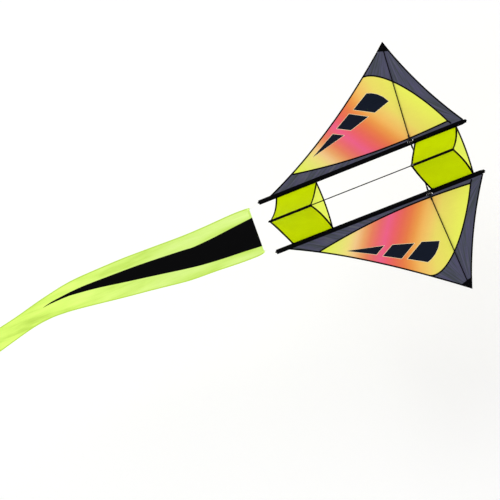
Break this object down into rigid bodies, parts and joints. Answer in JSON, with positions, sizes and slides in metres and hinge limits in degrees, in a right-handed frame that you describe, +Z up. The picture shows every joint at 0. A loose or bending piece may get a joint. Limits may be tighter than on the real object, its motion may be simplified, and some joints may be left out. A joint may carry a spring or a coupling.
{
  "type": "winged box kite with streamer tail",
  "caption": "Single-line kite with triangular fabric cells along a rod frame, printed delta wings and a long streamer tail; the wings and the keel fold.",
  "frame": {"origin": "on the ground plane, under the centre of the whole object's bounding box", "axes": "+X to the nose, away from the tail; +Y to the left wing; +Z up, out of the keel"},
  "size_m": [2.787, 1.232, 0.2321],
  "materials": {
    "rod": "pultruded fibreglass or carbon rod, satin black",
    "cap_vinyl": "matt vinyl end cap",
    "sleeve_cloth": "black polyester tape sewn as a tube",
    "fitting": "moulded black fitting, matt",
    "pale_ripstop": "lime ripstop seen with light through it",
    "binding_tape": "black folded edge tape, stitched",
    "printed_ripstop": "ripstop printed with a blend from yellow through orange to pink",
    "grey_ripstop": "dark grey-violet ripstop",
    "reinforcement": "heavy black reinforcement cloth",
    "webbing": "black woven webbing",
    "eyelet_metal": "rolled metal eyelet",
    "lime_ripstop": "saturated lime ripstop",
    "leader_line": "thin white braided line",
    "tail_ripstop": "bright yellow-green ripstop, light and translucent",
    "black_ripstop": "black ripstop, sewn on"
  },
  "bodies": {
    "frame": {"longeron_left": "rod", "longeron_right": "rod", "longeron_end_caps": "cap_vinyl", "sleeve_left": "sleeve_cloth", "sleeve_right": "sleeve_cloth", "centre_spreader": "rod", "inner_fitting_left": "fitting", "inner_fitting_right": "fitting", "back_panel_front": "pale_ripstop", "back_panel_rear": "pale_ripstop", "back_binding_front": "binding_tape", "back_binding_rear": "binding_tape", "side_panel_front_left": "lime_ripstop", "side_panel_front_right": "lime_ripstop", "side_panel_rear_left": "lime_ripstop", "side_panel_rear_right": "lime_ripstop", "side_binding_front_left": "binding_tape", "side_binding_front_right": "binding_tape", "side_binding_rear_left": "binding_tape", "side_binding_rear_right": "binding_tape"},
    "keel": {"keel_rod": "rod", "keel_end_caps": "cap_vinyl", "keel_sleeve_front": "sleeve_cloth", "keel_sleeve_rear": "sleeve_cloth", "tow_tab": "webbing", "tow_eyelet": "eyelet_metal"},
    "wing_left": {"print_panel_left": "printed_ripstop", "border_outer_left": "grey_ripstop", "border_inner_left": "grey_ripstop", "seam_tape_left": "binding_tape", "wing_binding_left": "binding_tape", "tip_pocket_left": "reinforcement", "wing_spar_left": "rod", "wing_fitting_left": "fitting"},
    "wing_right": {"print_panel_right": "printed_ripstop", "border_outer_right": "grey_ripstop", "border_inner_right": "grey_ripstop", "seam_tape_right": "binding_tape", "wing_binding_right": "binding_tape", "tip_pocket_right": "reinforcement", "wing_spar_right": "rod", "wing_fitting_right": "fitting"},
    "tail_1": {"leader_left": "leader_line", "leader_right": "leader_line", "tail_tabs": "tail_ripstop", "tail_cloth_1": "tail_ripstop", "tail_wedge_1": "black_ripstop"},
    "tail_2": {"tail_cloth_2": "tail_ripstop", "tail_wedge_2": "black_ripstop"},
    "tail_3": {"tail_cloth_3": "tail_ripstop", "tail_wedge_3": "black_ripstop"},
    "tail_4": {"tail_cloth_4": "tail_ripstop", "tail_wedge_4": "black_ripstop"},
    "tail_5": {"tail_cloth_5": "tail_ripstop"}
  },
  "joints": [
    {"name": "wing_left_fold", "type": "hinge", "parent": "frame", "child": "wing_left", "pos_m": [1.1065, 0.125, 0.0053], "axis": [1, 0, 0], "range_deg": [-12, 95]},
    {"name": "wing_right_fold", "type": "hinge", "parent": "frame", "child": "wing_right", "pos_m": [1.1065, -0.125, 0.0053], "axis": [-1, 0, 0], "range_deg": [-12, 95]},
    {"name": "keel_collapse", "type": "slide", "parent": "frame", "child": "keel", "axis": [0, 0, -1], "range_m": [0, 0.18], "deforming": ["side_panel_front_left", "side_panel_front_right", "side_panel_rear_left", "side_panel_rear_right", "side_binding_front_left", "side_binding_front_right", "side_binding_rear_left", "side_binding_rear_right"]},
    {"name": "tail_swing", "type": "hinge", "parent": "frame", "child": "tail_1", "pos_m": [0.3045, 0, 0.0053], "axis": [0, 1, 0], "range_deg": [-60, 60]},
    {"name": "tail_bend_1", "type": "hinge", "parent": "tail_1", "child": "tail_2", "pos_m": [-0.0835, 0, 0.0003], "axis": [0, 1, 0], "range_deg": [-40, 40]},
    {"name": "tail_bend_2", "type": "hinge", "parent": "tail_2", "child": "tail_3", "pos_m": [-0.4135, 0, 0.0003], "axis": [0, 1, 0], "range_deg": [-40, 40]},
    {"name": "tail_bend_3", "type": "hinge", "parent": "tail_3", "child": "tail_4", "pos_m": [-0.7435, 0, 0.0003], "axis": [0, 1, 0], "range_deg": [-40, 40]},
    {"name": "tail_bend_4", "type": "hinge", "parent": "tail_4", "child": "tail_5", "pos_m": [-1.0735, 0, 0.0003], "axis": [0, 1, 0], "range_deg": [-40, 40]}
  ]
}
